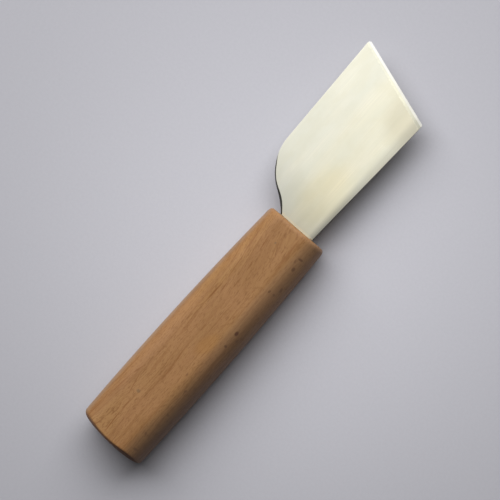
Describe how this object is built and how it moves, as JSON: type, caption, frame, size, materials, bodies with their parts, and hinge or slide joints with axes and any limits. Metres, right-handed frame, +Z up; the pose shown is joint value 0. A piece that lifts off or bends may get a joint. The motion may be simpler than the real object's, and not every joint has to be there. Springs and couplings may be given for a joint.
{
  "type": "skew paring knife",
  "caption": "Hand knife for paring leather and cutting lino: flat skew-edged steel blade glued into a rounded beech handle.",
  "frame": {"origin": "middle of the flat underside of the handle, on the handle's centre line", "axes": "+X along the handle toward the cutting edge, +Y toward the long point of the blade, +Z up out of the surface the knife lies on"},
  "size_m": [0.176, 0.0415, 0.019],
  "materials": {
    "handle_beech": "sanded beech, thin oil, rounded edges",
    "blade_steel": "polished along its length, honed bright along the cutting edge",
    "tang_glue": "cured epoxy, amber brown"
  },
  "bodies": {
    "root": {"handle": "handle_beech", "blade": "blade_steel", "tang_glue": "tang_glue"}
  },
  "joints": []
}
